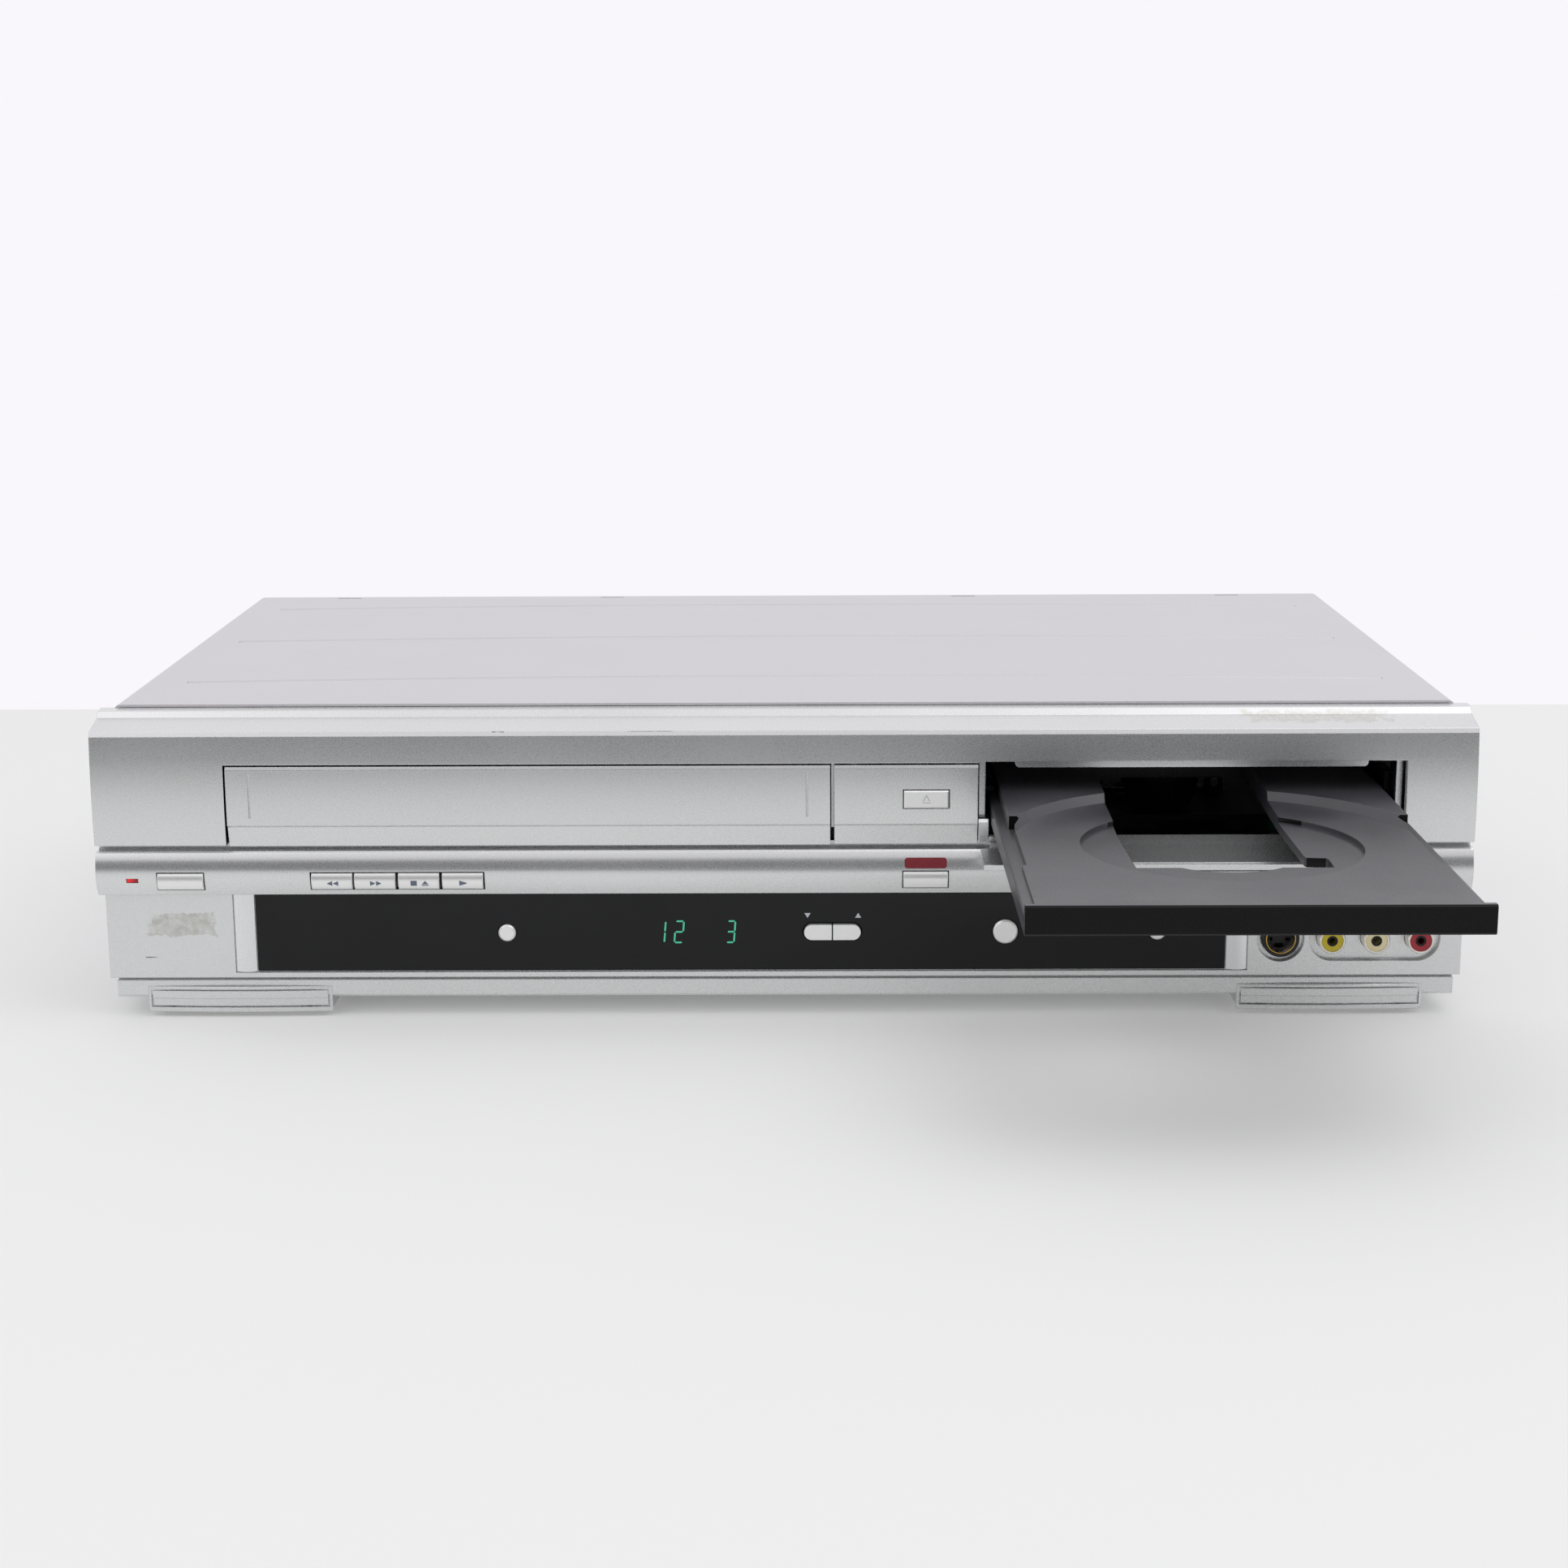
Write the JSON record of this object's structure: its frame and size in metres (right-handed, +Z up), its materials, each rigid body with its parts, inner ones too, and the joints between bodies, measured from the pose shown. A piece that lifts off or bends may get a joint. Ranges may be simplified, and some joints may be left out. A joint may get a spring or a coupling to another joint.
{
  "type": "dvd vcr combo player",
  "caption": "Full-width recorder with a cassette door and a disc tray that slides out, a dark display window, push buttons, front sockets and hinged doors.",
  "frame": {"origin": "on the supporting surface, under the middle of the outline with the disc tray out", "axes": "+X to the right seen from the front, +Y to the back, +Z up; the front faces -Y"},
  "size_m": [0.435, 0.3836, 0.0995],
  "materials": {
    "cover_paint": "smooth semi-gloss silver-grey baked enamel on steel sheet",
    "panel_silver": "silver lacquer on moulded plastic, satin",
    "window_black": "black acrylic, polished",
    "trim_silver": "silver lacquer, glossy",
    "button_silver": "silver lacquer on moulded plastic",
    "zinc_steel": "zinc-plated steel sheet",
    "rear_paint": "grey painted steel sheet",
    "black_plastic": "black moulded plastic, fine grain",
    "tray_plastic": "black moulded plastic, fine grain",
    "white_plastic": "natural acetal",
    "pad_rubber": "black rubber",
    "screw_steel": "plated steel",
    "board_green": "solder-masked circuit board with parts",
    "tube_glass": "display tube glass",
    "led_red": "clear red plastic",
    "jack_yellow": "moulded plastic ring",
    "jack_white": "moulded plastic ring",
    "jack_red": "moulded plastic ring",
    "tin_plate": "tinned steel can",
    "cast_aluminium": "turned and cast aluminium"
  },
  "bodies": {
    "case": {"front_panel": "panel_silver", "top_cover": "cover_paint", "display_window": "window_black", "window_trims": "trim_silver", "centre_panel": "panel_silver", "chassis_pan": "zinc_steel", "rear_panel": "rear_paint", "front_feet": "panel_silver", "rear_feet": "black_plastic", "foot_pads": "pad_rubber", "case_screws": "screw_steel", "main_board": "board_green", "power_board": "board_green", "front_board": "board_green", "display_tube": "tube_glass", "power_led": "led_red", "front_video_socket": "black_plastic", "front_yellow_jack": "jack_yellow", "front_white_jack": "jack_white", "front_red_jack": "jack_red", "rear_sockets": "black_plastic", "tuner": "tin_plate", "mains_inlet": "black_plastic", "fan_frame": "black_plastic", "tray_motor": "zinc_steel", "loader_frame": "black_plastic", "clamp_bridge": "zinc_steel", "deck_chassis": "zinc_steel", "drum_base": "cast_aluminium"},
    "cassette_door": {"cassette_door": "panel_silver"},
    "tray_door": {"tray_door": "panel_silver"},
    "disc_tray": {"disc_tray": "tray_plastic"},
    "tray_gear": {"tray_gear": "white_plastic"},
    "motor_pinion": {"motor_pinion": "white_plastic"},
    "disc_hub": {"disc_hub": "black_plastic"},
    "pickup_sled": {"pickup_sled": "cast_aluminium"},
    "disc_clamp": {"disc_clamp": "white_plastic"},
    "fan_rotor": {"fan_rotor": "black_plastic"},
    "head_drum": {"head_drum": "cast_aluminium"},
    "capstan": {"capstan": "screw_steel"},
    "pinch_arm": {"pinch_arm": "pad_rubber"},
    "supply_reel": {"supply_reel": "white_plastic"},
    "takeup_reel": {"takeup_reel": "white_plastic"},
    "cassette_basket": {"cassette_basket": "zinc_steel"},
    "power_button": {"power_button": "button_silver"},
    "rewind_button": {"rewind_button": "button_silver"},
    "forward_button": {"forward_button": "button_silver"},
    "stop_eject_button": {"stop_eject_button": "button_silver"},
    "play_button": {"play_button": "button_silver"},
    "dubbing_button": {"dubbing_button": "button_silver"},
    "disc_stop_button": {"disc_stop_button": "button_silver"},
    "disc_play_button": {"disc_play_button": "button_silver"},
    "tape_record_button": {"tape_record_button": "button_silver"},
    "disc_record_button": {"disc_record_button": "button_silver"},
    "output_button": {"output_button": "button_silver"},
    "channel_down_button": {"channel_down_button": "button_silver"},
    "channel_up_button": {"channel_up_button": "button_silver"},
    "tray_button": {"tray_button": "button_silver"},
    "traverse": {"traverse": "black_plastic", "guide_rods": "screw_steel"}
  },
  "joints": [
    {"name": "tray_slide", "type": "slide", "parent": "case", "child": "disc_tray", "axis": [0, 1, 0], "range_m": [0, 0.1335]},
    {"name": "tray_gear_spin", "type": "hinge", "parent": "case", "child": "tray_gear", "pos_m": [0.0885, -0.03625, 0.06], "axis": [0, 0, 1], "range_deg": [-645, 5]},
    {"name": "motor_pinion_spin", "type": "hinge", "parent": "case", "child": "motor_pinion", "pos_m": [0.0885, -0.01675, 0.06], "axis": [0, 0, 1], "range_deg": [-5, 1030]},
    {"name": "tray_door_hinge", "type": "hinge", "parent": "case", "child": "tray_door", "pos_m": [0.1285, -0.06175, 0.0582], "axis": [-1, 0, 0], "range_deg": [0, 12]},
    {"name": "cassette_door_hinge", "type": "hinge", "parent": "case", "child": "cassette_door", "pos_m": [-0.0801, -0.05825, 0.089], "axis": [1, 0, 0], "range_deg": [0, 88], "stiffness_Nm_per_rad": 0.01, "springref_deg": -17.19},
    {"name": "basket_slide", "type": "slide", "parent": "case", "child": "cassette_basket", "axis": [0, 1, 0], "range_m": [0, 0.055]},
    {"name": "traverse_lift", "type": "hinge", "parent": "case", "child": "traverse", "pos_m": [0.1305, 0.12075, 0.056], "axis": [-1, 0, 0], "range_deg": [0, 3.5]},
    {"name": "disc_hub_spin", "type": "hinge", "parent": "traverse", "child": "disc_hub", "pos_m": [0.1285, 0.01075, 0.06], "axis": [0, 0, 1], "continuous": true},
    {"name": "sled_slide", "type": "slide", "parent": "traverse", "child": "pickup_sled", "axis": [0, 1, 0], "range_m": [0, 0.034]},
    {"name": "disc_clamp_spin", "type": "hinge", "parent": "case", "child": "disc_clamp", "pos_m": [0.1285, 0.01075, 0.076], "axis": [0, 0, 1], "continuous": true},
    {"name": "fan_spin", "type": "hinge", "parent": "case", "child": "fan_rotor", "pos_m": [0.092, 0.17675, 0.06], "axis": [0, 1, 0], "continuous": true},
    {"name": "head_drum_spin", "type": "hinge", "parent": "case", "child": "head_drum", "pos_m": [-0.0801, 0.11775, 0.0292], "axis": [0, 0.0872, 0.9962], "continuous": true},
    {"name": "capstan_spin", "type": "hinge", "parent": "case", "child": "capstan", "pos_m": [-0.0221, 0.10875, 0.03], "axis": [0, 0, 1], "continuous": true},
    {"name": "pinch_arm_hinge", "type": "hinge", "parent": "case", "child": "pinch_arm", "pos_m": [-0.0041, 0.09675, 0.03], "axis": [0, 0, 1], "range_deg": [0, 16.5]},
    {"name": "supply_reel_spin", "type": "hinge", "parent": "case", "child": "supply_reel", "pos_m": [-0.11685, 0.04875, 0.03], "axis": [0, 0, 1], "continuous": true},
    {"name": "takeup_reel_spin", "type": "hinge", "parent": "case", "child": "takeup_reel", "pos_m": [-0.04335, 0.04875, 0.03], "axis": [0, 0, 1], "continuous": true},
    {"name": "power_press", "type": "slide", "parent": "case", "child": "power_button", "axis": [0, 1, 0], "range_m": [0, 0.0008], "stiffness_N_per_m": 400},
    {"name": "rewind_press", "type": "slide", "parent": "case", "child": "rewind_button", "axis": [0, 1, 0], "range_m": [0, 0.0008], "stiffness_N_per_m": 400},
    {"name": "forward_press", "type": "slide", "parent": "case", "child": "forward_button", "axis": [0, 1, 0], "range_m": [0, 0.0008], "stiffness_N_per_m": 400},
    {"name": "stop_eject_press", "type": "slide", "parent": "case", "child": "stop_eject_button", "axis": [0, 1, 0], "range_m": [0, 0.0008], "stiffness_N_per_m": 400},
    {"name": "play_press", "type": "slide", "parent": "case", "child": "play_button", "axis": [0, 1, 0], "range_m": [0, 0.0008], "stiffness_N_per_m": 400},
    {"name": "dubbing_press", "type": "slide", "parent": "case", "child": "dubbing_button", "axis": [0, 1, 0], "range_m": [0, 0.0008], "stiffness_N_per_m": 400},
    {"name": "disc_stop_press", "type": "slide", "parent": "case", "child": "disc_stop_button", "axis": [0, 1, 0], "range_m": [0, 0.0008], "stiffness_N_per_m": 400},
    {"name": "disc_play_press", "type": "slide", "parent": "case", "child": "disc_play_button", "axis": [0, 1, 0], "range_m": [0, 0.0008], "stiffness_N_per_m": 400},
    {"name": "tape_record_press", "type": "slide", "parent": "case", "child": "tape_record_button", "axis": [0, 1, 0], "range_m": [0, 0.0008], "stiffness_N_per_m": 400},
    {"name": "disc_record_press", "type": "slide", "parent": "case", "child": "disc_record_button", "axis": [0, 1, 0], "range_m": [0, 0.0008], "stiffness_N_per_m": 400},
    {"name": "output_press", "type": "slide", "parent": "case", "child": "output_button", "axis": [0, 1, 0], "range_m": [0, 0.0008], "stiffness_N_per_m": 400},
    {"name": "channel_down_press", "type": "slide", "parent": "case", "child": "channel_down_button", "axis": [0, 1, 0], "range_m": [0, 0.0008], "stiffness_N_per_m": 400},
    {"name": "channel_up_press", "type": "slide", "parent": "case", "child": "channel_up_button", "axis": [0, 1, 0], "range_m": [0, 0.0008], "stiffness_N_per_m": 400},
    {"name": "tray_press", "type": "slide", "parent": "case", "child": "tray_button", "axis": [0, 1, 0], "range_m": [0, 0.0008], "stiffness_N_per_m": 400}
  ],
  "couplings": [
    {"joint": "tray_gear_spin", "follows": "tray_slide", "rad_per_m": -83.333},
    {"joint": "motor_pinion_spin", "follows": "tray_slide", "rad_per_m": 133.33}
  ]
}
